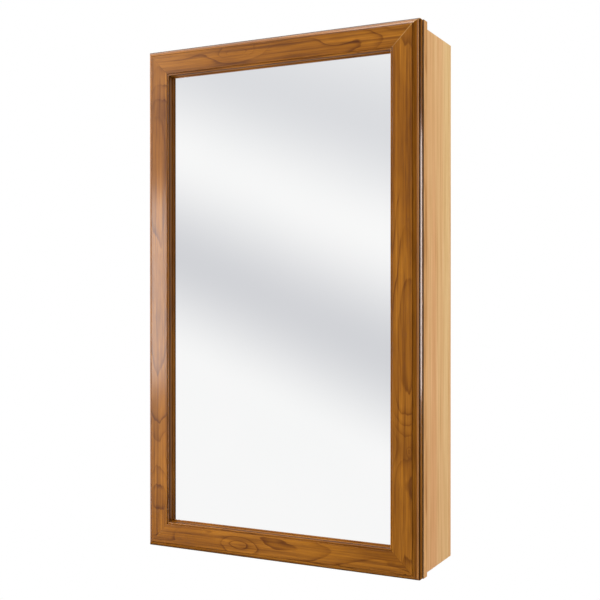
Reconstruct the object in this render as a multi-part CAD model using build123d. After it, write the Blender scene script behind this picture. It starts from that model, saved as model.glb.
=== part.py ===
from build123d import *
import math
import os

# Wall-hung medicine cabinet: a mirror door in a moulded wood frame, hinged on the left of a
# shallow box with a face frame, two loose shelves and a magnetic catch. Sizes in millimetres.
# +X is to the right as seen from the room, +Y points at the wall and +Z is up.
# The origin is on the wall plane, in the middle of the four wall screw holes.

# Overall size, which is that of the face frame and of the door on it
frame_width = 384.2
frame_height = 660.4
overall_depth = 120.65

# Door members and what their rabbet holds, from the front to the back
member_width = 37.0
sight_depth = 9.0
mirror_thickness = 3.0
backing_thickness = 3.0
backing_recess = 1.0
rabbet_overlap = 6.0
glass_clearance = 0.5
door_reveal = 0.75
back_arris = 0.4

# Moulding on the outer edge: side wall, groove, broad bead, quirk and then the flat face
edge_wall_depth = 7.2
edge_groove_width = 0.9
edge_groove_rise = 0.5
edge_bead_width = 5.4
edge_bead_depth = 0.5
edge_bead_rise = 1.15
edge_quirk_width = 0.7
edge_quirk_drop = 0.5
face_arris = 0.4

# Moulding at the sight edge: quirk, bead, step, steep cove and the fillet next to the glass
sight_moulding_width = 5.2
sight_quirk_width = 0.5
sight_quirk_depth = 1.2
sight_bead_width = 2.4
sight_bead_rise = 0.9
sight_step_width = 0.3
sight_step_depth = 2.8
sight_fillet_width = 1.3
sight_fillet_step = 0.8
sight_lip = 1.5
cove_rise = 0.15

# Nails across the mitres and points that hold the backing board
mitre_nail_leg = 5.0
mitre_nail_thickness = 0.6
mitre_nail_depth = 9.0
mitre_nail_spacing = 11.0
mitre_nail_bend = 30.0
point_length = 10.0
point_width = 9.0
point_thickness = 0.5
points_per_stile = 4
points_per_rail = 2

# Face frame behind the door
frame_thickness = 12.7
frame_edge_round = 0.8
frame_overhang_side = 0.6
frame_overhang_top = 8.4
frame_overhang_bottom = 4.0
frame_rail_lip = 1.6
frame_dowel_radius = 2.5
frame_dowel_length = 24.0
frame_dowel_spacing = 11.0
brad_radius = 0.6
brad_length = 22.0
brad_head_radius = 1.0
brad_head_height = 0.8
brad_set = 0.6
brads_per_stile = 5
brads_per_rail = 2

# Box
panel_thickness = 12.0
panel_arris = 0.5
back_thickness = 3.0
groove_depth = 5.0
groove_clearance = 0.1
back_edge_clearance = 0.5
rail_thickness = 12.0
rail_height = 60.0
case_dowel_radius = 3.0
case_dowel_length = 30.0
case_dowel_in_side = 9.0
case_dowel_inset = 16.0
dowel_fit = 0.05
dowel_end_chamfer = 0.5

# Wall screw holes in the hanging rails
wall_hole_radius = 2.75
wall_hole_spacing = 256.0

# Shelves and the pins that carry them
shelf_thickness = 12.0
shelf_side_clearance = 1.0
shelf_back_clearance = 1.2
shelf_front_setback = 2.5
edge_band_thickness = 1.0
edge_band_square = 0.2
pin_hole_radius = 2.5
pin_hole_depth = 8.5
pin_hole_pitch = 32.0
pin_holes_each_way = 6
pin_column_inset = 15.0
lower_shelf_hole = -3
upper_shelf_hole = 3
pin_fit = 0.05
pin_shank_length = 8.0
pin_plate_thickness = 1.2
pin_plate_drop = 6.0
pin_plate_rise = 3.5
pin_width = 7.0
pin_tongue_length = 9.0
pin_tongue_thickness = 2.0

# Hinges: leaves that nest in one another, so the gap behind the door is one leaf thick
hinge_height = 50.0
hinge_inset = 100.0
leaf_thickness = 1.5
leaf_play = 0.1
barrel_radius = 2.5
barrel_clearance = 0.5
hinge_pin_radius = 1.2
hinge_pin_play = 0.05
hinge_pin_head_radius = 2.2
hinge_pin_head_height = 1.0
hinge_pin_head_round = 0.6
knuckle_gap = 0.3
middle_knuckle = 22.0
nest_clearance = 0.3
leaf_bridge = 4.5
leaf_margin = 1.0
leaf_corner = 2.0
leaf_screw_edge = 1.75

# Screws
screw_shank_radius = 1.4
screw_head_radius = 2.6
screw_length = 11.5
screw_point = 3.0
screw_tip_radius = 0.3
screw_drive_width = 0.7
screw_drive_length = 2.8
screw_drive_depth = 0.7
screw_fit = 0.05

# Magnetic catch on the right stile of the face frame, and its strike on the door
catch_side_wall = 1.9
catch_end_wall = 2.9
catch_back_wall = 4.0
catch_ear_height = 9.0
catch_ear_thickness = 2.5
catch_front_setback = 0.35
catch_body_round = 1.5
catch_ear_round = 2.0
magnet_width = 5.6
magnet_height = 20.0
magnet_depth = 8.0
pole_thickness = 1.2
pole_gap = 0.1
magnet_fit = 0.1
strike_width = 10.0
strike_height = 24.0
strike_thickness = 1.2
strike_margin = 0.75
strike_corner = 1.0

# Bumper disc on the back of the door, level with the catch
bumper_radius = 6.5
bumper_squash = 0.1
bumper_inset = 0.8
bumper_round = 0.4

# How far a through cut runs past the faces that it opens
overrun = 1.0

# Places that follow from the sizes above, from the room to the wall
door_gap = leaf_thickness + leaf_play
door_thickness = sight_depth + mirror_thickness + backing_thickness + backing_recess
door_width = frame_width - 2 * door_reveal
door_height = frame_height - 2 * door_reveal
door_front_y = -overall_depth
door_back_y = door_front_y + door_thickness
frame_front_y = door_back_y + door_gap
frame_back_y = frame_front_y + frame_thickness
back_panel_rear_y = -rail_thickness
back_panel_front_y = back_panel_rear_y - back_thickness
glass_front_y = door_front_y + sight_depth
backing_front_y = glass_front_y + mirror_thickness
backing_back_y = backing_front_y + backing_thickness
shelf_front_y = frame_back_y + shelf_front_setback
shelf_back_y = back_panel_front_y - shelf_back_clearance
pin_column_ys = (frame_back_y + pin_column_inset, back_panel_front_y - pin_column_inset)
catch_y_front = frame_front_y + catch_front_setback
magnet_back_y = catch_y_front + magnet_depth
catch_y_back = magnet_back_y + catch_back_wall
pole_front_y = door_back_y + strike_thickness + pole_gap

# Places across the width, for the right side; the left side mirrors them
case_half_width = frame_width / 2 - frame_overhang_side
case_inner_x = case_half_width - panel_thickness
door_edge_x = door_width / 2
rabbet_wall_x = door_edge_x - member_width + rabbet_overlap
strike_x = rabbet_wall_x + strike_margin + strike_width / 2
stack_half = magnet_width / 2 + pole_thickness
pocket_half = stack_half + magnet_fit
catch_half = pocket_half + catch_side_wall
frame_inner_x = strike_x + catch_half
shelf_half = case_inner_x - shelf_side_clearance
frame_rail_width = frame_overhang_top + panel_thickness + frame_rail_lip

# Places up the height, where zero is the middle of the box and of the wall screws
case_height = frame_height - frame_overhang_top - frame_overhang_bottom
case_top_z = case_height / 2
case_bottom_z = -case_height / 2
frame_top_z = case_top_z + frame_overhang_top
frame_bottom_z = case_bottom_z - frame_overhang_bottom
door_middle_z = (frame_top_z + frame_bottom_z) / 2
inside_top_z = case_top_z - panel_thickness
inside_bottom_z = case_bottom_z + panel_thickness
rail_middle_z = inside_top_z - rail_height / 2
catch_body_height = magnet_height + 2 * magnet_fit + 2 * catch_end_wall
rabbet_wall_z = door_height / 2 - member_width + rabbet_overlap

# Hinge axis, beside the left edge of the face frame and in the middle of the gap
hinge_x = -(frame_width / 2 + barrel_clearance + barrel_radius)
hinge_y = door_back_y + door_gap / 2
hinge_zs = (
    door_middle_z - door_height / 2 + hinge_inset,
    door_middle_z + door_height / 2 - hinge_inset,
)
frame_leaf_end_x = -frame_inner_x - leaf_margin
door_leaf_end_x = frame_leaf_end_x - leaf_bridge


def board(x_ends, y_ends, z_ends):
    """A square-edged block between two places on each axis, given in either order."""
    ends = (sorted(x_ends), sorted(y_ends), sorted(z_ends))
    size = [high - low for low, high in ends]
    middle = [(high + low) / 2 for low, high in ends]
    return Pos(*middle) * Box(*size)


def rod(radius, start, end):
    """A round bar or hole from one point to another."""
    start_point = Vector(*start)
    run = Vector(*end) - start_point
    from_base = (Align.CENTER, Align.CENTER, Align.MIN)
    return Plane(start_point, z_dir=run) * Cylinder(radius, run.length, align=from_base)


def spaced(count, length):
    """Places in the middle of each of so many equal parts of a length, measured from its middle."""
    return [(index + 0.5) * length / count - length / 2 for index in range(count)]


def cut(shape, tools):
    """The shape with each tool taken away."""
    for tool in tools:
        shape = shape - tool
    return shape


def group(solids):
    """Separate solids that share one node."""
    return Compound([solid for shape in solids for solid in shape.solids()])


def mirrored(shape):
    """The same shape on the other side of the cabinet."""
    return mirror(shape, about=Plane.YZ)


# Screws, brads and dowels, and the holes that they leave
to_room = (0, -1, 0)
to_wall = (0, 1, 0)
to_left = (-1, 0, 0)


def screw(head_height, fit=0.0):
    """A countersunk screw down -Z with its flat head at zero, or its hole where it has a fit."""
    shank = screw_shank_radius + fit
    head = screw_head_radius + fit
    top = Pos(0, 0, -head_height / 2) * Cone(shank, head, head_height)
    straight = screw_length - head_height - screw_point
    middle = Pos(0, 0, -head_height - straight / 2) * Cylinder(shank, straight)
    tip_z = -head_height - straight - screw_point / 2
    tip = Pos(0, 0, tip_z) * Cone(screw_tip_radius + fit, shank, screw_point)
    body = top + middle + tip
    if fit:
        return body
    drive = Box(screw_drive_length, screw_drive_width, screw_drive_depth * 2)
    cross = drive + Rot(0, 0, 90) * drive
    return body - cross


def driven(piece, point, out):
    """A fastener set at a point with its head facing the way that out points."""
    return Plane(Vector(*point), z_dir=Vector(*out)) * piece


def dowel(radius, start, end, fit=0.0):
    """A wooden dowel with eased ends, or its hole where it has a fit."""
    if fit:
        return rod(radius + fit, start, end)
    pin = rod(radius, start, end)
    ends = pin.faces().filter_by(GeomType.PLANE).edges()
    return chamfer(ends, dowel_end_chamfer)


# Door members: one moulded section, cut to length and mitred
def member_section():
    """The section of a door member: X runs in from the outer edge and Y back from the face."""
    bead_start = edge_groove_width
    bead_end = bead_start + edge_bead_width
    face_start = bead_end + edge_quirk_width
    face_end = member_width - sight_moulding_width
    quirk_end = face_end + sight_quirk_width
    step_start = quirk_end + sight_bead_width
    cove_start = step_start + sight_step_width
    cove_end = member_width - sight_fillet_width
    fillet_depth = sight_depth - sight_lip
    wall_x = member_width - rabbet_overlap
    bead_low = edge_wall_depth - edge_groove_rise
    quirk_low = (bead_end + edge_quirk_width / 3, edge_bead_depth + edge_quirk_drop)
    outer = Polyline(
        (wall_x, door_thickness),
        (back_arris, door_thickness),
        (0, door_thickness - back_arris),
        (0, edge_wall_depth),
        (bead_start, bead_low),
    )
    bead = SagittaArc((bead_start, bead_low), (bead_end, edge_bead_depth), -edge_bead_rise)
    quirk = Polyline((bead_end, edge_bead_depth), quirk_low, (face_start, face_arris))
    arris_rise = face_arris * (math.sqrt(2) - 1) / math.sqrt(2)
    outer_arris = SagittaArc((face_start, face_arris), (face_start + face_arris, 0), -arris_rise)
    face = Line((face_start + face_arris, 0), (face_end - face_arris, 0))
    inner_arris = SagittaArc((face_end - face_arris, 0), (face_end, face_arris), -arris_rise)
    sight_quirk = Line((face_end, face_arris), (quirk_end, sight_quirk_depth))
    sight_bead_end = (step_start, sight_quirk_depth + sight_quirk_width)
    sight_bead = SagittaArc((quirk_end, sight_quirk_depth), sight_bead_end, -sight_bead_rise)
    step = Polyline(sight_bead_end, (step_start, sight_step_depth), (cove_start, sight_step_depth))
    cove_low = (cove_end, fillet_depth - sight_fillet_step)
    cove = SagittaArc((cove_start, sight_step_depth), cove_low, cove_rise)
    rabbet = Polyline(
        cove_low,
        (cove_end, fillet_depth),
        (member_width, fillet_depth),
        (member_width, sight_depth),
        (wall_x, sight_depth),
        (wall_x, door_thickness),
    )
    front = [outer, bead, quirk, outer_arris, face, inner_arris]
    return make_face(front + [sight_quirk, sight_bead, step, cove, rabbet])


def mitred_member(length):
    """A door member that stands along Z, with its outer edge at X = 0 and its face at Y = 0."""
    blank = Pos(0, 0, -length / 2) * extrude(member_section(), amount=length)
    short_end = length / 2 - member_width
    outline = Polygon(
        (0, -length / 2),
        (member_width, -short_end),
        (member_width, short_end),
        (0, length / 2),
        align=None,
    )
    return blank & extrude(Plane.XZ * outline, amount=door_thickness * 2, both=True)


def mitre_nails():
    """The bent steel nails that are pressed into the back of each mitre, two at a corner."""
    from_bend = (Align.MIN, Align.MAX, Align.CENTER)
    leg = Box(mitre_nail_leg, mitre_nail_depth, mitre_nail_thickness, align=from_bend)
    bent = Rot(0, -mitre_nail_bend, 0) * leg + Rot(0, mitre_nail_bend, 0) * leg
    middle_inset = (member_width - rabbet_overlap - mitre_nail_leg / 2) / 2
    nails = []
    for side in (-1, 1):
        for end in (-1, 1):
            towards_middle = math.degrees(math.atan2(end, -side))
            for step in (-0.5, 0.5):
                inset = middle_inset + step * mitre_nail_spacing
                x = side * (door_edge_x - inset)
                z = door_middle_z + end * (door_height / 2 - inset)
                nails.append(Pos(x, door_back_y, z) * Rot(0, towards_middle, 0) * bent)
    return nails


def glazing_points():
    """Flat steel points, half in the wood of the rabbet and half on the backing board."""
    half_length = point_length / 2
    half_width = point_width / 2
    outline = Polygon(
        (-half_length, 0),
        (0, -half_width),
        (half_length, -half_width),
        (half_length, half_width),
        (0, half_width),
        align=None,
    )
    point = extrude(Plane.XZ * outline, amount=-point_thickness)
    points = []
    for along in spaced(points_per_stile, 2 * rabbet_wall_z):
        z = door_middle_z + along
        points.append(Pos(-rabbet_wall_x, backing_back_y, z) * point)
        points.append(Pos(rabbet_wall_x, backing_back_y, z) * Rot(0, 180, 0) * point)
    for x in spaced(points_per_rail, 2 * rabbet_wall_x):
        low_z = door_middle_z - rabbet_wall_z
        high_z = door_middle_z + rabbet_wall_z
        points.append(Pos(x, backing_back_y, low_z) * Rot(0, -90, 0) * point)
        points.append(Pos(x, backing_back_y, high_z) * Rot(0, 90, 0) * point)
    return points


def rabbet_sheet(y_ends):
    """A sheet that lies in the rabbet of the door: the mirror or the board behind it."""
    half_x = rabbet_wall_x - glass_clearance
    half_z = rabbet_wall_z - glass_clearance
    return board((-half_x, half_x), y_ends, (door_middle_z - half_z, door_middle_z + half_z))


# Hinges
def leaf_plate(end_x, height, y_front):
    """A flat leaf from the hinge axis to an end, with two rounded corners at that end."""
    plate = board((hinge_x, end_x), (y_front, y_front + leaf_thickness), (-height / 2, height / 2))
    corners = plate.edges().filter_by(Axis.Y).group_by(Axis.X)[-1]
    return fillet(corners, leaf_corner)


def frame_leaf_screws(z):
    """Places of the two screws of a frame leaf, in the middle of its upper and lower bands."""
    x = (frame_leaf_end_x - frame_width / 2) / 2
    y = frame_front_y - leaf_thickness
    band = (hinge_height / 2 + middle_knuckle / 2 + nest_clearance) / 2
    return [(x, y, z + band), (x, y, z - band)]


def door_leaf_screws(z):
    """Places of the two screws of a door leaf, one above the other."""
    x = (door_leaf_end_x - door_edge_x) / 2
    y = door_back_y + leaf_thickness
    step = (middle_knuckle - knuckle_gap) / 2 - screw_head_radius - leaf_screw_edge
    return [(x, y, z + step), (x, y, z - step)]


def screw_holes(head_height, points, out):
    """The holes of the screws that have their heads at these points."""
    return [driven(screw(head_height, screw_fit), point, out) for point in points]


def screws(head_height, points, out):
    """One node's screws, with their heads at these points."""
    return group([driven(screw(head_height), point, out) for point in points])


def knuckle_bore():
    """The bore for the pin through all three knuckles of a hinge at zero height."""
    ends = ((hinge_x, hinge_y, -hinge_height), (hinge_x, hinge_y, hinge_height))
    return rod(hinge_pin_radius + hinge_pin_play, *ends)


def hinge_frame_leaf(z):
    """The outer leaf, on the face frame: a plate with a window, and the two end knuckles."""
    plate = leaf_plate(frame_leaf_end_x, hinge_height, frame_front_y - leaf_thickness)
    window_half = middle_knuckle / 2 + nest_clearance
    window_x = (hinge_x - barrel_radius - overrun, door_leaf_end_x + nest_clearance)
    window_y = (frame_front_y + overrun, frame_front_y - leaf_thickness - overrun)
    leaf = plate - board(window_x, window_y, (-window_half, window_half))
    for end in (-1, 1):
        near = (hinge_x, hinge_y, end * window_half)
        far = (hinge_x, hinge_y, end * hinge_height / 2)
        leaf = leaf + rod(barrel_radius, near, far)
    leaf = Pos(0, 0, z) * (leaf - knuckle_bore())
    return cut(leaf, screw_holes(leaf_thickness, frame_leaf_screws(z), to_room))


def hinge_door_leaf(z):
    """The inner leaf, on the back of the door: a small plate and the middle knuckle."""
    height = middle_knuckle - knuckle_gap
    leaf = leaf_plate(door_leaf_end_x, height, door_back_y)
    ends = ((hinge_x, hinge_y, -height / 2), (hinge_x, hinge_y, height / 2))
    leaf = leaf + rod(barrel_radius, *ends)
    leaf = Pos(0, 0, z) * (leaf - knuckle_bore())
    return cut(leaf, screw_holes(leaf_thickness, door_leaf_screws(z), to_wall))


def hinge_pin(z):
    """The pin through the three knuckles, with a button head at each end."""
    half = hinge_height / 2
    pin = rod(hinge_pin_radius, (hinge_x, hinge_y, z - half), (hinge_x, hinge_y, z + half))
    for end in (-1, 1):
        base = (hinge_x, hinge_y, z + end * half)
        tip = (hinge_x, hinge_y, z + end * (half + hinge_pin_head_height))
        head = rod(hinge_pin_head_radius, base, tip)
        rim = head.edges().sort_by(Axis.Z)[-1 if end > 0 else 0]
        pin = pin + fillet(rim, hinge_pin_head_round)
    return pin


# Magnetic catch
def catch_z_ends(height):
    """The two ends of a piece of the catch that is this high."""
    return (door_middle_z - height / 2, door_middle_z + height / 2)


def catch_screw_points():
    """Places of the two catch screws, in the middle of the ears."""
    rise = catch_body_height / 2 + catch_ear_height / 2
    y = (catch_y_front + catch_y_back) / 2
    x = frame_inner_x - catch_ear_thickness
    return [(x, y, door_middle_z + rise), (x, y, door_middle_z - rise)]


def catch_housing():
    """A plastic block on the inner edge of the stile, with an ear above and below it."""
    y_ends = (catch_y_front, catch_y_back)
    block_x = (frame_inner_x - 2 * catch_half, frame_inner_x)
    block = board(block_x, y_ends, catch_z_ends(catch_body_height))
    block = fillet(block.edges().filter_by(Axis.Y).group_by(Axis.X)[0], catch_body_round)
    ear_x = (frame_inner_x - catch_ear_thickness, frame_inner_x)
    ears = board(ear_x, y_ends, catch_z_ends(catch_body_height + 2 * catch_ear_height))
    ears = fillet(ears.edges().filter_by(Axis.X), catch_ear_round)
    pocket_x = (strike_x - pocket_half, strike_x + pocket_half)
    pocket_y = (catch_y_front - overrun, magnet_back_y)
    pocket = board(pocket_x, pocket_y, catch_z_ends(magnet_height + 2 * magnet_fit))
    holes = screw_holes(catch_ear_thickness, catch_screw_points(), to_left)
    return cut(block + ears, [pocket] + holes)


def catch_magnet():
    """The magnet, whose front face lies halfway between the pole tips and the housing."""
    x_ends = (strike_x - magnet_width / 2, strike_x + magnet_width / 2)
    front_y = (pole_front_y + catch_y_front) / 2
    return board(x_ends, (front_y, magnet_back_y), catch_z_ends(magnet_height))


def catch_poles():
    """The two steel plates on the sides of the magnet, which stand out of the housing."""
    poles = []
    for side in (-1, 1):
        x_ends = (strike_x + side * magnet_width / 2, strike_x + side * stack_half)
        poles.append(board(x_ends, (pole_front_y, magnet_back_y), catch_z_ends(magnet_height)))
    return poles


def strike_plate():
    """The steel plate on the back of the door that the magnet holds."""
    x_ends = (strike_x - strike_width / 2, strike_x + strike_width / 2)
    y_ends = (door_back_y, door_back_y + strike_thickness)
    plate = board(x_ends, y_ends, catch_z_ends(strike_height))
    plate = fillet(plate.edges().filter_by(Axis.Y), strike_corner)
    return cut(plate, screw_holes(strike_thickness, strike_screw_points, to_wall))


def door_bumper():
    """A clear stick-on disc at the opening edge, which the door closes against."""
    x = door_edge_x - bumper_inset - bumper_radius
    back_y = frame_front_y - bumper_squash
    disc = rod(bumper_radius, (x, door_back_y, door_middle_z), (x, back_y, door_middle_z))
    rim = disc.edges().sort_by(Axis.Y)[-1]
    return fillet(rim, bumper_round)


# Places of the screws of both hinges and of the strike, used for the screws and their holes
door_screw_points = [point for z in hinge_zs for point in door_leaf_screws(z)]
frame_screw_points = [point for z in hinge_zs for point in frame_leaf_screws(z)]
strike_screw_points = [(strike_x, door_back_y + strike_thickness, door_middle_z)]


# Face frame and box fasteners
def brads():
    """Brads through the face frame into the box, with their heads set below the face."""
    panel_middle_x = case_half_width - panel_thickness / 2
    places = []
    for z in spaced(brads_per_stile, case_height):
        places.extend([(-panel_middle_x, z), (panel_middle_x, z)])
    for x in spaced(brads_per_rail, 2 * frame_inner_x):
        places.append((x, case_top_z - panel_thickness / 2))
        places.append((x, case_bottom_z + panel_thickness / 2))
    start_y = frame_front_y + brad_set
    head_end_y = start_y + brad_head_height
    nails = []
    for x, z in places:
        shank = rod(brad_radius, (x, start_y, z), (x, start_y + brad_length, z))
        nails.append(shank + rod(brad_head_radius, (x, start_y, z), (x, head_end_y, z)))
    return nails


def brad_holes():
    """The hole of each brad, open at the face of the frame."""
    holes = []
    for nail in brads():
        middle = nail.bounding_box().center()
        front = (middle.X, frame_front_y, middle.Z)
        head_end = (middle.X, frame_front_y + brad_set + brad_head_height, middle.Z)
        back = (middle.X, frame_front_y + brad_set + brad_length, middle.Z)
        holes.append(rod(brad_radius, front, back) + rod(brad_head_radius, front, head_end))
    return holes


def frame_dowels(fit=0.0):
    """Two dowels at each corner of the face frame, from the rail into the stile."""
    y = (frame_front_y + frame_back_y) / 2
    rails = (frame_top_z - frame_rail_width / 2, frame_bottom_z + frame_rail_width / 2)
    half = frame_dowel_length / 2
    pins = []
    for side in (-1, 1):
        for rail_z in rails:
            for step in (-0.5, 0.5):
                z = rail_z + step * frame_dowel_spacing
                ends = ((side * (frame_inner_x - half), y, z), (side * (frame_inner_x + half), y, z))
                pins.append(dowel(frame_dowel_radius, *ends, fit))
    return pins


def case_dowels(fit=0.0):
    """Dowels from the ends of the top, the bottom and the hanging rails into the sides."""
    seats = []
    for y in (frame_back_y + case_dowel_inset, back_panel_front_y - case_dowel_inset):
        seats.append((y, case_top_z - panel_thickness / 2))
        seats.append((y, case_bottom_z + panel_thickness / 2))
    for rail_z in (rail_middle_z, -rail_middle_z):
        for step in (-0.5, 0.5):
            seats.append((-rail_thickness / 2, rail_z + step * (rail_height - 2 * case_dowel_inset)))
    pins = []
    for y, z in seats:
        for side in (-1, 1):
            outer = side * (case_inner_x + case_dowel_in_side)
            inner = side * (case_inner_x + case_dowel_in_side - case_dowel_length)
            pins.append(dowel(case_dowel_radius, (inner, y, z), (outer, y, z), fit))
    return pins


# Box
def back_panel_groove():
    """The space that the back panel's groove takes out of the boards round it."""
    half_x = case_inner_x + groove_depth
    half_z = inside_top_z + groove_depth
    y_ends = (back_panel_front_y - groove_clearance, back_panel_rear_y + groove_clearance)
    return board((-half_x, half_x), y_ends, (-half_z, half_z))


def hole_z(index):
    """Height of a shelf pin hole, counted from the middle one."""
    return index * pin_hole_pitch


def pin_holes():
    """The blind holes in the right side, one column near the front and one near the back."""
    bottom_x = case_inner_x + pin_hole_depth
    holes = []
    for y in pin_column_ys:
        for index in range(-pin_holes_each_way, pin_holes_each_way + 1):
            z = hole_z(index)
            holes.append(rod(pin_hole_radius, (case_inner_x, y, z), (bottom_x, y, z)))
    return holes


def side_panel():
    """The right side: a board the full height of the box, with its outer edges eased."""
    x_ends = (case_inner_x, case_half_width)
    panel = board(x_ends, (frame_back_y, 0), (case_bottom_z, case_top_z))
    long_edge = panel.edges().filter_by(Axis.Z).group_by(Axis.X)[-1].sort_by(Axis.Y)[-1]
    end_edges = panel.edges().filter_by(Axis.Y).group_by(Axis.X)[-1]
    panel = fillet([long_edge] + list(end_edges), panel_arris)
    grooves = [back_panel_groove()]
    return cut(panel, pin_holes() + grooves + case_dowels(dowel_fit) + brad_holes())


def end_panel(z_ends):
    """The top or the bottom, which fits between the sides."""
    panel = board((-case_inner_x, case_inner_x), (frame_back_y, 0), z_ends)
    return cut(panel, [back_panel_groove()] + case_dowels(dowel_fit) + brad_holes())


def back_panel():
    """The thin panel that slides in the groove round the back of the box."""
    half_x = case_inner_x + groove_depth - back_edge_clearance
    half_z = inside_top_z + groove_depth - back_edge_clearance
    y_ends = (back_panel_front_y, back_panel_rear_y)
    return cut(board((-half_x, half_x), y_ends, (-half_z, half_z)), wall_holes())


def wall_holes():
    """The four holes for the wall screws, through the hanging rails and the back panel."""
    start_y = back_panel_front_y - overrun
    holes = []
    for x in (-wall_hole_spacing / 2, wall_hole_spacing / 2):
        for z in (-rail_middle_z, rail_middle_z):
            holes.append(rod(wall_hole_radius, (x, start_y, z), (x, overrun, z)))
    return holes


def hanging_rail(middle_z):
    """A rail behind the back panel, dowelled to the sides, that the wall screws go through."""
    z_ends = (middle_z - rail_height / 2, middle_z + rail_height / 2)
    rail = board((-case_inner_x, case_inner_x), (back_panel_rear_y, 0), z_ends)
    return cut(rail, wall_holes() + case_dowels(dowel_fit))


# Face frame
def frame_stile():
    """The right stile of the face frame, the full height, with its front outer edges eased."""
    x_ends = (frame_inner_x, frame_width / 2)
    stile = board(x_ends, (frame_front_y, frame_back_y), (frame_bottom_z, frame_top_z))
    front = stile.edges().group_by(Axis.Y)[0]
    side_edge = front.filter_by(Axis.Z).sort_by(Axis.X)[-1]
    end_edges = front.filter_by(Axis.X)
    stile = fillet([side_edge] + list(end_edges), frame_edge_round)
    return cut(stile, frame_dowels(dowel_fit) + brad_holes())


def frame_rail(outer_z, inner_z):
    """A rail of the face frame between the stiles, with its front outer edge eased."""
    rail = board((-frame_inner_x, frame_inner_x), (frame_front_y, frame_back_y), (outer_z, inner_z))
    front = rail.edges().group_by(Axis.Y)[0].filter_by(Axis.X).sort_by(Axis.Z)
    rail = fillet(front[-1] if outer_z > inner_z else front[0], frame_edge_round)
    return cut(rail, frame_dowels(dowel_fit) + brad_holes())


# Shelves
def shelf_z_ends(index):
    """The underside and the top of a shelf that lies on pins in the holes of this number."""
    low = hole_z(index) + pin_plate_rise
    return (low, low + shelf_thickness)


def shelf(index):
    """A loose shelf on four pins, without the strip on its front edge."""
    y_ends = (shelf_front_y + edge_band_thickness, shelf_back_y)
    return board((-shelf_half, shelf_half), y_ends, shelf_z_ends(index))


def shelf_band(index):
    """The strip glued on the front edge of a shelf, with its front edges rounded."""
    y_ends = (shelf_front_y, shelf_front_y + edge_band_thickness)
    band = board((-shelf_half, shelf_half), y_ends, shelf_z_ends(index))
    front = band.edges().group_by(Axis.Y)[0].filter_by(Axis.X)
    return fillet(front, edge_band_thickness - edge_band_square)


def shelf_pin():
    """An angle pin for the right side: a shank, a plate on the wall and a tongue at its top."""
    shank = rod(pin_hole_radius - pin_fit, (0, 0, 0), (pin_shank_length, 0, 0))
    y_ends = (-pin_width / 2, pin_width / 2)
    plate = board((-pin_plate_thickness, 0), y_ends, (-pin_plate_drop, pin_plate_rise))
    tongue_z = (pin_plate_rise - pin_tongue_thickness, pin_plate_rise)
    tongue = board((-pin_tongue_length, 0), y_ends, tongue_z)
    return shank + plate + tongue


def shelf_pins(index):
    """The four pins in the holes of this number."""
    pins = []
    for y in pin_column_ys:
        pin = Pos(case_inner_x, y, hole_z(index)) * shelf_pin()
        pins.extend([pin, mirrored(pin)])
    return pins


# Door members in place, with the slots and holes of what is fixed in them
door_cuts = mitre_nails() + glazing_points()
door_cuts += screw_holes(leaf_thickness, door_screw_points, to_wall)
door_cuts += screw_holes(strike_thickness, strike_screw_points, to_wall)
door_stile = mitred_member(door_height)
door_rail = mitred_member(door_width)
door_bottom_z = door_middle_z - door_height / 2
door_top_z = door_middle_z + door_height / 2
door_stile_left = Pos(-door_edge_x, door_front_y, door_middle_z) * door_stile
door_stile_right = Pos(door_edge_x, door_front_y, door_middle_z) * Rot(0, 180, 0) * door_stile
door_rail_bottom = Pos(0, door_front_y, door_bottom_z) * Rot(0, -90, 0) * door_rail
door_rail_top = Pos(0, door_front_y, door_top_z) * Rot(0, 90, 0) * door_rail

side_right = side_panel()
stile_right = frame_stile()
hinge_screw_holes = screw_holes(leaf_thickness, frame_screw_points, to_room)
catch_screw_holes = screw_holes(catch_ear_thickness, catch_screw_points(), to_left)

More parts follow.
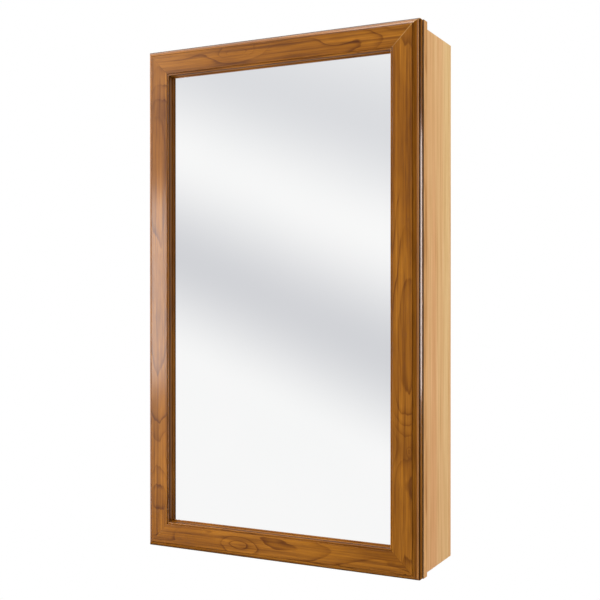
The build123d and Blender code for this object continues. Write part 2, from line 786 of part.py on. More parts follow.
parts = {
    "side_panel_right": side_right,
    "side_panel_left": mirrored(side_right),
    "top_panel": end_panel((inside_top_z, case_top_z)),
    "bottom_panel": end_panel((case_bottom_z, inside_bottom_z)),
    "back_panel": back_panel(),
    "hanging_rail_upper": hanging_rail(rail_middle_z),
    "hanging_rail_lower": hanging_rail(-rail_middle_z),
    "case_dowels": group(case_dowels()),
    "face_frame_stile_right": cut(stile_right, catch_screw_holes),
    "face_frame_stile_left": cut(mirrored(stile_right), hinge_screw_holes),
    "face_frame_rail_top": frame_rail(frame_top_z, frame_top_z - frame_rail_width),
    "face_frame_rail_bottom": frame_rail(frame_bottom_z, frame_bottom_z + frame_rail_width),
    "face_frame_dowels": group(frame_dowels()),
    "face_frame_brads": group(brads()),
    "shelf_lower": shelf(lower_shelf_hole),
    "shelf_upper": shelf(upper_shelf_hole),
    "shelf_lower_edge_band": shelf_band(lower_shelf_hole),
    "shelf_upper_edge_band": shelf_band(upper_shelf_hole),
    "shelf_pins_lower": group(shelf_pins(lower_shelf_hole)),
    "shelf_pins_upper": group(shelf_pins(upper_shelf_hole)),
    "door_stile_left": cut(door_stile_left, door_cuts),
    "door_stile_right": cut(door_stile_right, door_cuts),
    "door_rail_top": cut(door_rail_top, door_cuts),
    "door_rail_bottom": cut(door_rail_bottom, door_cuts),
    "door_mitre_nails": group(mitre_nails()),
    "mirror_glass": rabbet_sheet((glass_front_y, backing_front_y)),
    "mirror_backing_board": rabbet_sheet((backing_front_y, backing_back_y)),
    "glazing_points": group(glazing_points()),
    "hinge_frame_leaf_lower": hinge_frame_leaf(hinge_zs[0]),
    "hinge_frame_leaf_upper": hinge_frame_leaf(hinge_zs[1]),
    "hinge_door_leaf_lower": hinge_door_leaf(hinge_zs[0]),
    "hinge_door_leaf_upper": hinge_door_leaf(hinge_zs[1]),
    "hinge_pins": group([hinge_pin(z) for z in hinge_zs]),
    "hinge_frame_screws": screws(leaf_thickness, frame_screw_points, to_room),
    "hinge_door_screws": screws(leaf_thickness, door_screw_points, to_wall),
    "catch_housing": catch_housing(),
    "catch_magnet": catch_magnet(),
    "catch_pole_plates": group(catch_poles()),
    "catch_screws": screws(catch_ear_thickness, catch_screw_points(), to_left),
    "catch_strike_plate": strike_plate(),
    "catch_strike_screw": screws(strike_thickness, strike_screw_points, to_wall),
    "door_bumper": door_bumper(),
}

os.makedirs("parts", exist_ok=True)
for name, shape in parts.items():
    export_step(shape, f"parts/{name}.step")
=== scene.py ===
import math

import bpy
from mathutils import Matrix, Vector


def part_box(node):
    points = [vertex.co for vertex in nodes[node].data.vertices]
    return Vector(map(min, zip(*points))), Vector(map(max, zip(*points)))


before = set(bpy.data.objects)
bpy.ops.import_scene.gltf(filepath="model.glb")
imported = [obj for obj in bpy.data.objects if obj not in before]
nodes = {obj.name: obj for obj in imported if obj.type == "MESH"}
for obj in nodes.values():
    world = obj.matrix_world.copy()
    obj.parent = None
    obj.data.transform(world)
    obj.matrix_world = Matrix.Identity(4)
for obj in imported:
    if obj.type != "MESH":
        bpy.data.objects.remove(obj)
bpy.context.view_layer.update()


# The box: two sides, a top and a bottom of particle board under a light tan laminate with a
# printed straight grain. The grain runs up the sides and across the boards between them, and
# the back edges, which meet the wall, are raw.
def tone(red, green, blue):
    """A screen colour as the shader takes it."""
    steps = (red / 255, green / 255, blue / 255)
    linear = [s / 12.92 if s <= 0.04045 else ((s + 0.055) / 1.055) ** 2.4 for s in steps]
    return (*linear, 1.0)


def add(tree, kind, inputs, **settings):
    """A shader node whose inputs are values or the outputs of other nodes."""
    made = tree.nodes.new("ShaderNode" + kind)
    for setting, value in settings.items():
        setattr(made, setting, value)
    for socket, value in inputs.items():
        if isinstance(value, bpy.types.NodeSocket):
            tree.links.new(value, made.inputs[socket])
        else:
            made.inputs[socket].default_value = value
    return made


def work(tree, operation, *values):
    """The result of a sum, product or other step on numbers."""
    return add(tree, "Math", dict(enumerate(values)), operation=operation).outputs[0]


def mixed(tree, amount, first, second, blend="MIX"):
    """Two colours mixed by an amount."""
    inputs = {0: amount, 6: first, 7: second}
    return add(tree, "Mix", inputs, data_type="RGBA", blend_type=blend).outputs[2]


def ramp(tree, amount, stops, interpolation="LINEAR"):
    """A colour for each amount, from stops of a position and a colour."""
    made = add(tree, "ValToRGB", {0: amount})
    scale = made.color_ramp
    scale.interpolation = interpolation
    while len(scale.elements) < len(stops):
        scale.elements.new(0.5)
    for element, (position, colour) in zip(scale.elements, stops):
        element.position = position
        element.color = colour
    return made.outputs[0]


def spread(tree, value, low, high, to_low=0.0, to_high=1.0):
    """A value eased from one range to another."""
    inputs = {"Value": value, "From Min": low, "From Max": high, "To Min": to_low, "To Max": to_high}
    return add(tree, "MapRange", inputs, interpolation_type="SMOOTHSTEP").outputs[0]


def noise(tree, place, detail=2.0, roughness=0.5):
    """Smooth noise at a place that is already scaled to the size of its features."""
    inputs = {"Vector": place, "Scale": 1.0, "Detail": detail, "Roughness": roughness}
    return add(tree, "TexNoise", inputs).outputs[0]


def scaled_place(tree, x_per_metre, y_per_metre, z_per_metre, shift=0.0):
    """The place on the piece, with so many features of a pattern to a metre on each axis."""
    inputs = {
        "Vector": add(tree, "TexCoord", {}).outputs["Object"],
        "Location": (shift, shift, shift),
        "Scale": (x_per_metre, y_per_metre, z_per_metre),
    }
    return add(tree, "Mapping", inputs).outputs[0]


def facing(tree, axis):
    """How far the surface of the piece faces along an axis, from -1 to 1."""
    normal = add(tree, "TexCoord", {}).outputs["Normal"]
    return add(tree, "SeparateXYZ", {0: normal}).outputs[axis]


def new_finish(name, roughness, metallic=0.0, coat=0.0, coat_roughness=0.1):
    """A material, its tree and its main shader."""
    material = bpy.data.materials.new(name)
    material.use_nodes = True
    shader = material.node_tree.nodes["Principled BSDF"]
    shader.inputs["Metallic"].default_value = metallic
    shader.inputs["Coat Weight"].default_value = coat
    shader.inputs["Coat Roughness"].default_value = coat_roughness
    shader.inputs["Roughness"].default_value = roughness
    return material, material.node_tree, shader


def dress(tree, shader, colour, roughness, height, relief):
    """Joins colour, roughness and a relief of so many metres to the shader."""
    tree.links.new(colour, shader.inputs["Base Color"])
    tree.links.new(roughness, shader.inputs["Roughness"])
    bump = add(tree, "Bump", {"Strength": 1.0, "Distance": relief, "Height": height})
    tree.links.new(bump.outputs[0], shader.inputs["Normal"])


def put_on(material, names):
    """Gives CAD nodes their finish."""
    for name in names:
        for slot in nodes[name].material_slots:
            slot.material = material


def particle_board(tree):
    """The colour of a raw edge: chips of many browns."""
    chips_per_metre = 700
    place = scaled_place(tree, chips_per_metre, chips_per_metre, chips_per_metre)
    chips = add(tree, "TexVoronoi", {"Vector": place, "Scale": 1.0})
    chip_tones = [(0.0, tone(120, 84, 48)), (0.5, tone(176, 138, 92)), (1.0, tone(212, 180, 132))]
    chip = add(tree, "SeparateXYZ", {0: chips.outputs["Color"]}).outputs[0]
    return ramp(tree, chip, chip_tones)


def laminate(name, shares, shift):
    """Light tan laminate. The shares are 1 on the axes across the grain and small along it."""
    material, tree, shader = new_finish(name, 0.42)

    def printed(per_metre, detail, roughness=0.5):
        x, y, z = [per_metre * share for share in shares]
        return noise(tree, scaled_place(tree, x, y, z, shift), detail, roughness)

    fine_per_metre = 620
    lines_per_metre = 240
    broad_per_metre = 24
    fine = printed(fine_per_metre, 3.0, 0.6)
    lines = printed(lines_per_metre, 2.0)
    broad = printed(broad_per_metre, 2.0)
    figure = work(tree, "MULTIPLY_ADD", lines, 0.55, work(tree, "MULTIPLY", fine, 0.45))
    grain_tones = [(0.34, tone(194, 152, 104)), (0.48, tone(212, 176, 130)), (0.62, tone(221, 188, 146))]
    drift_tones = [(0.35, tone(246, 222, 204)), (0.65, tone(255, 255, 240))]
    grain = ramp(tree, figure, grain_tones)
    drift = ramp(tree, broad, drift_tones)
    face = mixed(tree, 1.0, grain, drift, "MULTIPLY")
    raw_edge = spread(tree, facing(tree, 1), 0.8, 0.9)
    colour = mixed(tree, raw_edge, face, particle_board(tree))
    roughness = spread(tree, figure, 0.3, 0.7, 0.46, 0.36)
    dress(tree, shader, colour, roughness, figure, 0.00006)
    return material


along_grain = 0.022
grain_up = (1, 1, along_grain)
grain_across = (along_grain, 1, 1)
put_on(laminate("side_laminate", grain_up, 3.0), ["side_panel_left", "side_panel_right"])
cross_boards = ["top_panel", "bottom_panel", "shelf_lower", "shelf_upper"]
put_on(laminate("cross_laminate", grain_across, 7.0), cross_boards)


# The shelves' front edges: strips of the same laminate, glued on, with softened corners. Their
# print starts at another place of the roll, so it doesn't run on from the boards.
band_material = laminate("edge_strip_laminate", grain_across, 11.0)
put_on(band_material, ["shelf_lower_edge_band", "shelf_upper_edge_band"])


# The back panel and the board behind the mirror: pressed hardboard, dark brown and fibrous.
# The back panel slides into grooves of the box, and its side in the box has a printed tan
# face, so it matches the boards round it.
def hardboard(name, printed_tone):
    """Pressed board, with print lines in a tone on its room side."""
    material, tree, shader = new_finish(name, 0.7)
    fibres = noise(tree, scaled_place(tree, 500, 500, 160), 4.0, 0.65)
    specks = noise(tree, scaled_place(tree, 1600, 1600, 1600), 2.0)
    blotches = noise(tree, scaled_place(tree, 14, 14, 14), 3.0)
    pulp_tones = [(0.3, tone(82, 52, 30)), (0.5, tone(118, 80, 48)), (0.7, tone(142, 102, 66))]
    pulp = ramp(tree, fibres, pulp_tones)
    worn = mixed(tree, spread(tree, blotches, 0.4, 0.7, 0.0, 0.35), pulp, tone(96, 60, 34))
    speck = spread(tree, specks, 0.62, 0.7, 0.0, 0.5)
    speckled = mixed(tree, speck, worn, tone(168, 130, 88))
    lines = noise(tree, scaled_place(tree, 150, 150, 1.2), 3.0)
    print_lines = ramp(tree, lines, [(0.35, tone(188, 140, 92)), (0.6, printed_tone)])
    room_side = spread(tree, work(tree, "MULTIPLY", facing(tree, 1), -1.0), 0.8, 0.9)
    colour = mixed(tree, room_side, speckled, print_lines)
    roughness = spread(tree, fibres, 0.3, 0.7, 0.62, 0.8)
    dress(tree, shader, colour, roughness, fibres, 0.00012)
    return material


put_on(hardboard("back_panel_board", tone(216, 176, 126)), ["back_panel"])
put_on(hardboard("mirror_backing", tone(132, 94, 60)), ["mirror_backing_board"])


# The hanging rails and the dowels: solid wood, left raw. The rails are sawn pine behind the back
# panel, which take the wall screws, and the dowels are turned beech, glued in.
def board_place(tree, along, middle_across, middle_along):
    """Distances on a board: across its face, along its grain, and in from the room."""
    place = add(tree, "SeparateXYZ", {0: add(tree, "TexCoord", {}).outputs["Object"]}).outputs
    across = work(tree, "SUBTRACT", place[0] if along == "Z" else place[2], middle_across)
    length = work(tree, "SUBTRACT", place[2] if along == "Z" else place[0], middle_along)
    return across, length, place[1]


def grain_noise(tree, board, per_metre_across, per_metre_along, seed, detail=2.0):
    """Noise drawn out along the grain, centred on zero."""
    across, length, depth = board
    x = work(tree, "MULTIPLY", across, per_metre_across)
    y = work(tree, "MULTIPLY", depth, per_metre_across)
    z = work(tree, "MULTIPLY_ADD", length, per_metre_along, seed)
    place = add(tree, "CombineXYZ", {0: x, 1: y, 2: z}).outputs[0]
    return work(tree, "SUBTRACT", noise(tree, place, detail), 0.5)


def growth_rings(tree, board, pith, ring, wander, seed, swells):
    """The number of the growth ring at a place, in a log whose pith lies behind the face.

    A swell pushes the rings out round a place: an oval where it is narrow, arches where it is wide.
    """
    across, length, depth = board
    slow = grain_noise(tree, board, 6.0, 3.6, seed)
    sway = grain_noise(tree, board, 4.0, 2.4, seed + 40.0)
    wobble = grain_noise(tree, board, 90.0, 12.0, seed + 80.0)
    sideways_wander = 2.5 * wander
    wobble_size = 0.0012
    from_pith = work(tree, "SUBTRACT", across, pith[0])
    from_pith = work(tree, "MULTIPLY_ADD", sway, sideways_wander, from_pith)
    behind = work(tree, "MULTIPLY_ADD", slow, wander, work(tree, "ADD", depth, pith[1]))
    squares = work(tree, "MULTIPLY", from_pith, from_pith)
    squares = work(tree, "MULTIPLY_ADD", behind, behind, squares)
    distance = work(tree, "MULTIPLY_ADD", wobble, wobble_size, work(tree, "SQRT", squares))
    for swell_across, swell_along, half_width, half_length, rise in swells:
        u = work(tree, "DIVIDE", work(tree, "SUBTRACT", across, swell_across), half_width)
        v = work(tree, "DIVIDE", work(tree, "SUBTRACT", length, swell_along), half_length)
        reach = work(tree, "MULTIPLY_ADD", v, v, work(tree, "MULTIPLY", u, u))
        swell = work(tree, "EXPONENT", work(tree, "MULTIPLY", reach, -1.0))
        distance = work(tree, "MULTIPLY_ADD", swell, rise, distance)
    return work(tree, "DIVIDE", distance, ring)


def late_wood(tree, rings):
    """The dark thin line that ends each ring. It is sharp on one side, and some are stronger."""
    step = work(tree, "FRACT", rings)
    number = work(tree, "FLOOR", rings)
    chance = add(tree, "TexWhiteNoise", {"W": number}, noise_dimensions="1D").outputs["Value"]
    line_start = 0.66
    line_peak = 0.93
    rise = spread(tree, step, line_start, line_peak)
    fall = spread(tree, step, line_peak, 1.0, 1.0, 0.0)
    line = work(tree, "MULTIPLY", work(tree, "MULTIPLY", rise, rise), fall)
    return work(tree, "MULTIPLY", line, spread(tree, chance, 0.0, 1.0, 0.2, 0.80))


def solid_wood(name, along, middle, log, seed, tones, gloss, swells=(), extra=None):
    """Wood cut from a log with growth rings, and an extra step, which on the door and the face frame
    paints shade and highlights into its colour.

    The log is where its pith lies, the width of a ring and how far it wanders. Tones run from the
    pale to the dark wood of a ring. The gloss is roughness, coat and the coat's roughness.
    """
    roughness, coat, coat_roughness = gloss
    pith, ring, wander = log
    pale, middle_tone, dark = tones
    material, tree, shader = new_finish(name, roughness, coat=coat, coat_roughness=coat_roughness)
    shader.inputs["Specular IOR Level"].default_value = 0.5 - 0.5 * coat
    board = board_place(tree, along, *middle)

    rings = growth_rings(tree, board, pith, ring, wander, seed, swells)
    ring_tones = [(0.0, pale), (0.45, pale), (0.95, middle_tone), (1.0, pale)]
    early = ramp(tree, work(tree, "FRACT", rings), ring_tones)
    patches = grain_noise(tree, board, 55.0, 9.0, seed + 20.0)
    ground = mixed(tree, spread(tree, patches, -0.15, 0.15), early, middle_tone)
    shade = grain_noise(tree, board, 35.0, 14.0, seed + 90.0)
    ground = mixed(tree, spread(tree, shade, 0.0, 0.3, 0.0, 0.35), ground, dark)
    strength = grain_noise(tree, board, 60.0, 9.0, seed + 60.0)
    strength = spread(tree, strength, -0.12, 0.12, 0.15, 1.0)
    lined = mixed(tree, work(tree, "MULTIPLY", late_wood(tree, rings), strength), ground, dark)

    bands = grain_noise(tree, board, 160.0, 2.5, seed + 50.0)
    streaks = grain_noise(tree, board, 420.0, 6.0, seed + 70.0)
    fibres = grain_noise(tree, board, 1000.0, 25.0, seed + 10.0, 3.0)
    threads = work(tree, "MULTIPLY_ADD", streaks, 1.0, work(tree, "MULTIPLY", fibres, 0.8))
    threads = work(tree, "MULTIPLY_ADD", bands, 0.7, threads)
    thread_tones = [
        (0.2, (0.62, 0.56, 0.46, 1)),
        (0.5, (0.98, 0.97, 0.96, 1)),
        (0.8, (1.32, 1.38, 1.45, 1)),
    ]
    thread_shade = ramp(tree, work(tree, "ADD", threads, 0.5), thread_tones)
    colour = mixed(tree, 1.0, lined, thread_shade, "MULTIPLY")

    pore = spread(tree, grain_noise(tree, board, 1500.0, 60.0, seed + 30.0), 0.10, 0.22)
    colour = mixed(tree, work(tree, "MULTIPLY", pore, 0.4), colour, dark)
    relief = work(tree, "MULTIPLY_ADD", pore, -1.0, work(tree, "MULTIPLY", fibres, 0.6))
    if extra:
        colour, relief = extra(tree, shader, board, colour, relief)
    surface = spread(tree, fibres, -0.25, 0.25, roughness + 0.06, roughness - 0.06)
    dress(tree, shader, colour, surface, relief, 0.00005)
    return material


def middle_of(name, along):
    """Where the middle of a board lies, across and along its grain."""
    low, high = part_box(name)
    middle_x = (low[0] + high[0]) / 2
    middle_z = (low[2] + high[2]) / 2
    return (middle_x, middle_z) if along == "Z" else (middle_z, middle_x)


raw_gloss = (0.62, 0.0, 0.1)
pine_log = ((0.02, 0.06), 0.0045, 0.020)
pine_tones = (tone(222, 186, 134), tone(206, 164, 108), tone(168, 116, 64))
for seed, rail in enumerate(["hanging_rail_upper", "hanging_rail_lower"]):
    place = middle_of(rail, "X")
    pine = solid_wood(f"{rail}_pine", "X", place, pine_log, 2.0 + seed, pine_tones, raw_gloss)
    put_on(pine, [rail])
beech_log = ((0.0, 0.3), 0.003, 0.010)
beech_tones = (tone(218, 182, 136), tone(204, 164, 116), tone(178, 134, 88))
beech = solid_wood("dowel_beech", "X", (0.0, 0.0), beech_log, 5.0, beech_tones, raw_gloss)
put_on(beech, ["case_dowels", "face_frame_dowels"])


# The face frame: hardwood stiles and rails, dowelled together and bradded to the front of the
# box, stained a light tan and varnished. A dark line on the stiles' long front arris is a painted shadow
# of the gap by the door.
def within(tree, value, low, high, soft=0.00015):
    """1 where a value lies in a range, with soft ends."""
    above = spread(tree, value, low - soft, low + soft)
    return work(tree, "MULTIPLY", above, spread(tree, value, high - soft, high + soft, 1.0, 0.0))


# The dark tone of painted shade: in the door's grooves and by the gap at the door's edges.
painted_shade_tone = (0.03, 0.010, 0.002, 1)


def painted_gap_shadow(outer, front):
    """The extra step for a stile whose outer side and front lie at these places: a painted shadow of the
    gap by the door, laid as a dark line on the outer front arris.
    """
    gap_shadow_width = 0.0008
    gap_shadow_depth = 0.0011
    front_margin = 0.0002
    gap_shadow_share = 0.85

    def add_gap_shadow(tree, shader, board, colour, relief):
        across, length, depth = board
        at_edge = within(tree, across, outer - gap_shadow_width, outer + gap_shadow_width)
        near_front = within(tree, depth, front - front_margin, front + gap_shadow_depth)
        # Painted shadow of the gap: the outer front arris is darkened where the door shades it.
        gap_shadow_mask = work(tree, "MULTIPLY", work(tree, "MULTIPLY", at_edge, near_front), gap_shadow_share)
        return mixed(tree, gap_shadow_mask, colour, painted_shade_tone), relief

    return add_gap_shadow


frame_gloss = (0.38, 0.25, 0.18)
frame_log = ((0.05, 0.09), 0.004, 0.010)
frame_tones = (tone(208, 158, 104), tone(196, 144, 90), tone(164, 108, 58))
first_frame_seed = 12.0
frame_members = [  # the member, its grain, and the side on which its long arris lies
    ("face_frame_stile_left", "Z", -1),
    ("face_frame_stile_right", "Z", 1),
    ("face_frame_rail_top", "X", 0),
    ("face_frame_rail_bottom", "X", 0),
]
for number, (member, along, outer_side) in enumerate(frame_members):
    low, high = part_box(member)
    half_width = (high[0] - low[0]) / 2
    # The stiles get a painted shadow of the gap on their outer front arris.
    arris = painted_gap_shadow(outer_side * half_width, low[1]) if outer_side else None
    varnished = solid_wood(
        f"{member}_wood",
        along,
        middle_of(member, along),
        frame_log,
        first_frame_seed + number,
        frame_tones,
        frame_gloss,
        extra=arris,
    )
    put_on(varnished, [member])


# The door's four members: flat-sawn hardwood, moulded, mitred and nailed, stained honey brown
# and varnished glossy, with painted shade in the quirks, the sight cove, the outer groove and on the
# back edge by the gap. Their growth rings show as long ovals and narrow arches. A painted
# highlight lies on the outer bead, and a painted glint on the top right mitre line.
def mitre_line(tree, length, from_edge, half_length):
    """1 on the fine line where a member meets the next one at 45 degrees, and 0 elsewhere."""
    to_end = work(tree, "SUBTRACT", half_length, work(tree, "ABSOLUTE", length))
    return spread(tree, work(tree, "SUBTRACT", to_end, from_edge), 0.0002, 0.0007, 1.0, 0.0)


def moulding_painted_light(half_length, outer_side, front, coat):
    """The extra step for a moulded member of the door, by its half length, outer side and front: painted
    shade in the grooves and by the gap, a painted highlight on the outer bead and a painted glint on one
    mitre.
    """
    half_width = 0.0185
    painted_shade_bands = [  # from the outer edge, behind the front, and the share of painted shade
        ((0.0059, 0.0072), (0.00025, 0.0015), 0.10),
        ((0.0316, 0.0327), (0.00025, 0.0016), 0.10),
        ((-0.0010, 0.0013), (0.0062, 0.0104), 0.85),
        ((0.0345, 0.0353), (0.0016, 0.0032), 0.80),
        ((-0.0010, 0.0012), (0.0140, 0.0175), 0.90),
    ]
    highlight_width = (-0.0010, 0.0014)
    highlight_depth = (0.0010, 0.0058)
    highlight_share = 0.60
    highlight_tone = tone(214, 150, 84)
    sight_edge = (0.0348, 0.0356)
    bare_coat = 0.1
    glint_corner_range = (0.40, 0.50)
    mitre_glint_tone = tone(196, 150, 88)
    mitre_depth = -0.8

    def add_painted_light(tree, shader, board, colour, relief):
        across, length, depth = board
        from_edge = work(tree, "MULTIPLY_ADD", across, -outer_side, half_width)
        below_front = work(tree, "SUBTRACT", depth, front)
        # Painted shade: dark bands in the quirks, the sight cove, the outer groove and on the back edge
        # by the gap, where shade falls.
        painted_shade_share = 0.0
        for band, groove, share in painted_shade_bands:
            in_band = work(tree, "MULTIPLY", within(tree, from_edge, *band), share)
            painted_shade_share = work(tree, "MULTIPLY_ADD", in_band, within(tree, below_front, *groove), painted_shade_share)
        # Painted highlight: a paler tan line on the outer bead, where a lamp's sheen falls.
        painted_highlight = work(tree, "MULTIPLY", within(tree, from_edge, *highlight_width), highlight_share)
        painted_highlight = work(tree, "MULTIPLY", painted_highlight, within(tree, below_front, *highlight_depth))
        colour = mixed(tree, painted_highlight, colour, highlight_tone)
        colour = mixed(tree, painted_shade_share, colour, painted_shade_tone)
        shine = spread(tree, from_edge, *sight_edge, coat, bare_coat)
        shine = work(tree, "MULTIPLY", shine, work(tree, "SUBTRACT", 1.0, painted_shade_share))
        tree.links.new(shine, shader.inputs["Coat Weight"])

        # The mitre line is a dark joint, with a painted glint where it turns pale at the top right
        # corner.
        line = mitre_line(tree, length, from_edge, half_length)
        place = add(tree, "SeparateXYZ", {0: add(tree, "TexCoord", {}).outputs["Object"]}).outputs
        glint_corner = spread(tree, work(tree, "ADD", place[0], place[2]), *glint_corner_range)
        joint_and_glint_tone = mixed(tree, glint_corner, door_tones[2], mitre_glint_tone)
        joint_and_glint_share = work(tree, "MULTIPLY", line, spread(tree, glint_corner, 0.0, 1.0, 0.25, 1.0))
        colour = mixed(tree, joint_and_glint_share, colour, joint_and_glint_tone)
        return colour, work(tree, "MULTIPLY_ADD", line, mitre_depth, relief)

    return add_painted_light


door_tones = (tone(160, 99, 22), tone(142, 84, 12), tone(86, 40, 2))
door_gloss = (0.42, 0.7, 0.15)
door_wander = 0.005
# Each member's grain, outer side, seed, pith, ring width and swells. A swell is its place across
# and along the member, its half width and half length, and how far it pushes the rings.
door_members = {
    "door_stile_left": ("Z", -1, 31.0, (0.002, 0.013), 0.0014, [
        (0, 0.32, 1.0, 0.06, 0.005),
        (0, -0.21, 1.0, 0.05, 0.004),
        (0, -0.30, 1.0, 0.03, 0.003),
    ]),
    "door_stile_right": ("Z", 1, 37.0, (0.007, 0.010), 0.0012, [
        (0, 0.19, 1.0, 0.17, 0.0045),
        (0, -0.170, 1.0, 0.030, 0.0030),
        (0, -0.27, 1.0, 0.12, 0.0050),
        (0.008, -0.178, 0.003, 0.005, -0.0020),
    ]),
    "door_rail_top": ("X", 1, 43.0, (-0.004, 0.015), 0.0014, [
        (0.003, -0.054, 0.007, 0.026, 0.0038),
        (0.004, 0.085, 0.008, 0.020, 0.0016),
        (0, 0.17, 1.0, 0.05, 0.003),
    ]),
    "door_rail_bottom": ("X", -1, 47.0, (0.004, 0.015), 0.0014, [
        (-0.001, -0.050, 0.009, 0.030, 0.0038),
        (0.003, -0.125, 0.008, 0.020, 0.0018),
        (0, 0.14, 1.0, 0.09, 0.004),
    ]),
}
for member, (along, outer_side, seed, pith, ring, swells) in door_members.items():
    low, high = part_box(member)
    half_length = (high[2] - low[2] if along == "Z" else high[0] - low[0]) / 2
    honey = solid_wood(
        f"{member}_wood",
        along,
        middle_of(member, along),
        (pith, ring, door_wander),
        seed,
        door_tones,
        door_gloss,
        swells,
        moulding_painted_light(half_length, outer_side, low[1], door_gloss[1]),
    )
    put_on(honey, [member])


# The mirror: float glass silvered on its back, laid in the rabbet of the door and held by
# glazing points. It is flat and almost without blur, with faint wiping marks.
mirror_finish, mirror_tree, mirror_shader = new_finish("silvered_mirror", 0.02, metallic=1.0)
wash = noise(mirror_tree, scaled_place(mirror_tree, 6, 6, 6), 2.0)
silver_tones = [(0.3, (0.920, 0.925, 0.925, 1)), (0.7, (0.935, 0.935, 0.935, 1))]
silver = ramp(mirror_tree, wash, silver_tones)
mirror_tree.links.new(silver, mirror_shader.inputs["Base Color"])
smear = noise(mirror_tree, scaled_place(mirror_tree, 30, 30, 9), 3.0)
mirror_blur = spread(mirror_tree, smear, 0.3, 0.8, 0.004, 0.02)
mirror_tree.links.new(mirror_blur, mirror_shader.inputs["Roughness"])
put_on(mirror_finish, ["mirror_glass"])


# Small steel: hinges and their pins, screws, brads, mitre nails, glazing points, the strike and
# the catch's pole plates. All are plated or bright steel with fine rolling marks.
def plated_steel(name, light, shade, roughness, marks_per_metre):
    """Steel with marks drawn out up the piece, and a few duller stains."""
    material, tree, shader = new_finish(name, roughness, metallic=1.0)
    mark_stretch = 12
    drawn_out = marks_per_metre / mark_stretch
    marks = noise(tree, scaled_place(tree, marks_per_metre, marks_per_metre, drawn_out), 3.0)
    stains = noise(tree, scaled_place(tree, 90, 90, 90), 3.0)
    plating = ramp(tree, marks, [(0.3, shade), (0.7, light)])
    colour = mixed(tree, spread(tree, stains, 0.55, 0.8, 0.0, 0.3), plating, shade)
    surface = spread(tree, marks, 0.3, 0.7, roughness - 0.06, roughness + 0.08)
    dress(tree, shader, colour, surface, marks, 0.00001)
    return material


nickel = plated_steel("nickel_hinge", tone(214, 210, 202), tone(176, 172, 164), 0.26, 1400)
put_on(nickel, ["hinge_frame_leaf_lower", "hinge_frame_leaf_upper", "hinge_door_leaf_lower"])
put_on(nickel, ["hinge_door_leaf_upper", "hinge_pins"])
zinc = plated_steel("zinc_screws", tone(204, 206, 208), tone(160, 164, 168), 0.32, 2200)
put_on(zinc, ["hinge_frame_screws", "hinge_door_screws", "catch_screws", "catch_strike_screw"])
bright = plated_steel("bright_nails", tone(190, 190, 192), tone(140, 140, 144), 0.36, 2600)
put_on(bright, ["face_frame_brads", "door_mitre_nails", "glazing_points"])
rolled = plated_steel("catch_steel", tone(198, 200, 202), tone(150, 152, 156), 0.30, 1800)
put_on(rolled, ["catch_pole_plates", "catch_strike_plate"])


# Moulded pieces: tan shelf pins, the catch's brown housing and its black sintered magnet, and
# the clear vinyl bumper disc, which sticks to the back of the door.
def moulded(name, light, shade, roughness, grain_per_metre):
    """A fine grain in two tones, with soft flow marks. Its shader comes back too."""
    material, tree, shader = new_finish(name, roughness)
    place = scaled_place(tree, grain_per_metre, grain_per_metre, grain_per_metre)
    grain = noise(tree, place, 3.0, 0.6)
    flow = noise(tree, scaled_place(tree, 60, 60, 60), 2.0)
    body = ramp(tree, grain, [(0.3, shade), (0.7, light)])
    colour = mixed(tree, spread(tree, flow, 0.45, 0.75, 0.0, 0.4), body, shade)
    surface = spread(tree, grain, 0.3, 0.7, roughness - 0.05, roughness + 0.08)
    dress(tree, shader, colour, surface, grain, 0.00002)
    return material, shader


tan_plastic, _ = moulded("tan_pins", tone(196, 152, 104), tone(178, 134, 88), 0.4, 2500)
put_on(tan_plastic, ["shelf_pins_lower", "shelf_pins_upper"])
brown_plastic, _ = moulded("brown_housing", tone(108, 74, 48), tone(88, 58, 36), 0.42, 2500)
put_on(brown_plastic, ["catch_housing"])
magnet, _ = moulded("sintered_magnet", tone(62, 60, 60), tone(38, 37, 38), 0.6, 3500)
put_on(magnet, ["catch_magnet"])
vinyl, vinyl_shader = moulded("clear_vinyl", tone(236, 232, 218), tone(222, 216, 198), 0.22, 1500)
vinyl_shader.inputs["Subsurface Weight"].default_value = 0.3
vinyl_shader.inputs["Subsurface Radius"].default_value = (0.002, 0.002, 0.0015)
put_on(vinyl, ["door_bumper"])


# The studio floor: pale and matt, far below the hung cabinet. It fades into the white
# background away from the middle, and keeps the cabinet's shadow.
def background_rays(tree):
    """1 for a ray from the camera, off gloss or through glass."""
    rays = add(tree, "LightPath", {}).outputs
    seen = work(tree, "MAXIMUM", rays["Is Camera Ray"], rays["Is Glossy Ray"])
    return work(tree, "MAXIMUM", seen, rays["Is Transmission Ray"])


white = (1, 1, 1, 1)
floor_z = -1.25
floor_width = 12.0
fade_start = 0.8
fade_end = 2.4
bpy.ops.object.select_all(action="DESELECT")
bpy.ops.mesh.primitive_plane_add(size=floor_width, location=(0, 0, floor_z))
floor = bpy.context.object
floor.name = "studio_floor"
floor_finish, floor_tree, floor_shader = new_finish("pale_floor", 0.8)
floor_shader.inputs["Base Color"].default_value = (0.86, 0.86, 0.86, 1)
floor_place = add(floor_tree, "TexCoord", {}).outputs["Object"]
from_middle = add(floor_tree, "VectorMath", {0: floor_place}, operation="LENGTH").outputs["Value"]
fade = spread(floor_tree, from_middle, fade_start, fade_end)
white_glow = add(floor_tree, "Emission", {"Color": white, "Strength": 1.0}).outputs[0]
lift = work(floor_tree, "MULTIPLY", background_rays(floor_tree), fade)
floor_inputs = {0: lift, 1: floor_shader.outputs[0], 2: white_glow}
floor_mix = add(floor_tree, "MixShader", floor_inputs).outputs[0]
floor_tree.links.new(floor_mix, floor_tree.nodes["Material Output"].inputs["Surface"])
floor.data.materials.append(floor_finish)


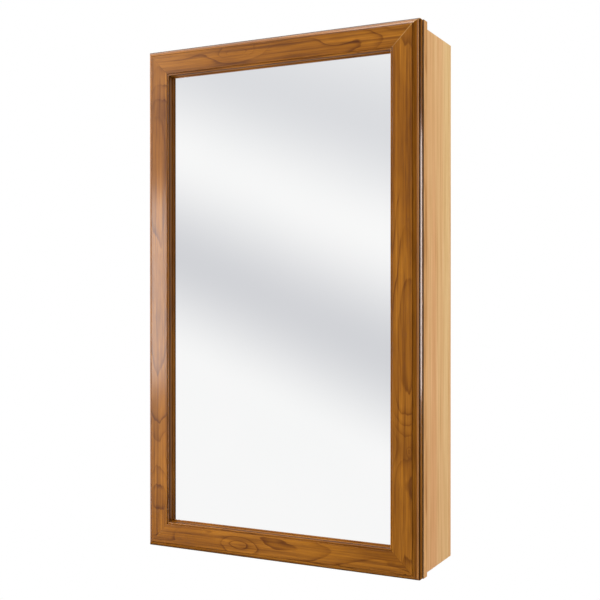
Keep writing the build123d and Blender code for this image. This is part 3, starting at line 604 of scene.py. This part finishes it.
# The card and the panels that the mirror alone sees: a big card in soft grey bands behind the
# camera, and white panels behind, to the right and below, so that no view of it goes dark.
mirror_only = bpy.data.collections.new("mirror_only")
mirror_only.objects.link(nodes["mirror_glass"])


def glowing_finish(name):
    """A material and its tree, with no shader yet."""
    finish = bpy.data.materials.new(name)
    finish.use_nodes = True
    finish.node_tree.nodes.remove(finish.node_tree.nodes["Principled BSDF"])
    return finish, finish.node_tree


def let_glow(tree, colour):
    """Makes the finish give off its colour at strength 1."""
    glow = add(tree, "Emission", {"Color": colour, "Strength": 1.0}).outputs[0]
    tree.links.new(glow, tree.nodes["Material Output"].inputs["Surface"])


def mirror_panel(name, finish, place, turn, width, height):
    """A flat panel that only the mirror sees, turned by so many degrees about each axis."""
    bpy.ops.object.select_all(action="DESELECT")
    bpy.ops.mesh.primitive_plane_add(size=1, location=(0, 0, 0))
    panel = bpy.context.object
    panel.name = name
    bpy.ops.object.mode_set(mode="EDIT")
    bpy.ops.transform.resize(value=(width, height, 1))
    bpy.ops.object.mode_set(mode="OBJECT")
    panel.rotation_euler = [math.radians(angle) for angle in turn]
    panel.location = place
    panel.visible_camera = False
    panel.visible_diffuse = False
    panel.visible_shadow = False
    panel.light_linking.receiver_collection = mirror_only
    panel.data.materials.append(finish)


band_slope = 0.40
band_low = -1.17
band_high = 0.48
card_stops = [
    (0.0, white),
    (0.238, (0.695, 0.702, 0.731, 1)),
    (0.472, white),
    (0.698, (0.765, 0.773, 0.799, 1)),
    (1.0, white),
]
card_finish, card_tree = glowing_finish("card_gradient")
card_place = add(card_tree, "TexCoord", {}).outputs["Object"]
card_axes = add(card_tree, "SeparateXYZ", {0: card_place}).outputs
band_place = work(card_tree, "MULTIPLY_ADD", card_axes[0], band_slope, card_axes[1])
band_place = work(card_tree, "SUBTRACT", band_place, band_low)
band_share = work(card_tree, "DIVIDE", band_place, band_high - band_low)
let_glow(card_tree, ramp(card_tree, band_share, card_stops, "EASE"))
mirror_panel("studio_card", card_finish, (0.8, -2.2, 0), (90, 0, 0), 10.0, 6.0)

flag_finish, flag_tree = glowing_finish("flag_white")
let_glow(flag_tree, white)
flag_height = 4.0
mirror_panel("studio_flag", flag_finish, (1.4, 1.6, 0), (90, 0, 0), 3.6, flag_height)
mirror_panel("studio_flag", flag_finish, (3.2, -0.3, 0), (90, 0, 90), 3.8, flag_height)
mirror_panel("studio_flag", flag_finish, (0, 0, -1.2), (0, 0, 0), 6.0, flag_height)


# The room's own light: a low even level on the cabinet, in front of a background that the camera,
# gloss and glass see as plain white.
ambient = 0.17
world = bpy.data.worlds.new("studio_world")
bpy.context.scene.world = world
world.use_nodes = True
world_tree = world.node_tree
world_shader = world_tree.nodes["Background"]
world_level = spread(world_tree, background_rays(world_tree), 0.0, 1.0, ambient, 1.0)
world_shader.inputs["Color"].default_value = white
world_tree.links.new(world_level, world_shader.inputs["Strength"])


# The lamps: soft boxes round the cabinet, none of which the mirror shows. The two strips are for
# the glow on the left stile and for the bright line on the right edge of the door.
all_but_mirror = bpy.data.collections.new("all_but_mirror")
all_but_mirror.objects.link(nodes["mirror_glass"])
all_but_mirror.collection_objects[0].light_linking.link_state = "EXCLUDE"
door_edge_only = bpy.data.collections.new("door_edge_only")
door_edge_only.objects.link(nodes["door_stile_right"])


def softbox(name, place, target, width, height, watts, lights=all_but_mirror):
    """A soft rectangular lamp that looks at a target."""
    data = bpy.data.lights.new(name, "AREA")
    data.shape = "RECTANGLE"
    data.size = width
    data.size_y = height
    data.energy = watts
    lamp = bpy.data.objects.new(name, data)
    bpy.context.collection.objects.link(lamp)
    lamp.light_linking.receiver_collection = lights
    lamp.location = place
    aim = [there - here for here, there in zip(place, target)]
    flat = math.hypot(aim[0], aim[1])
    lamp.rotation_euler = (math.atan2(flat, -aim[2]), 0, math.atan2(-aim[0], aim[1]))
    return lamp


side_lamp = softbox("side_softbox", (2.2, 0.5, 0.45), (0.19, -0.05, 0), 1.2, 2.6, 42)
side_lamp.visible_glossy = False
softbox("edge_softbox", (2.1, 0.5, 0.3), (0.19, -0.1, 0), 0.9, 2.6, 8)
softbox("back_strip", (0.78, 1.27, 0.095), (0.19, -0.1, 0.04), 0.3, 0.7, 3.0, door_edge_only)
softbox("left_softbox", (-2.7, -2.1, 1.2), (0, -0.1, 0), 1.4, 1.4, 82)
softbox("left_strip", (-0.90, -1.0, 0.020), (-0.17, -0.12, 0.0), 0.25, 0.47, 3.1)
softbox("low_left_softbox", (-1.5, -1.2, -0.35), (0.1, -0.1, -0.3), 0.6, 0.6, 10)
softbox("top_softbox", (0.1, -0.6, 2.0), (0, -0.1, 0.3), 1.6, 1.0, 29)


# The camera: at the height of the cabinet's middle and to the right of it, as in the photo, with
# a lens and a place that were fitted to the straight edges of the door and the mirror.
camera_yaw = 26.88
camera_pitch = -0.178
camera_data = bpy.data.cameras.new("photo_camera")
camera_data.sensor_width = 36.0
camera_data.lens = 60.6
camera = bpy.data.objects.new("photo_camera", camera_data)
bpy.context.collection.objects.link(camera)
camera.location = (0.6008, -1.2316, 0.0052)
camera.rotation_euler = (math.radians(90 + camera_pitch), 0, math.radians(camera_yaw))
bpy.context.scene.camera = camera
bpy.context.scene.view_settings.view_transform = "Standard"
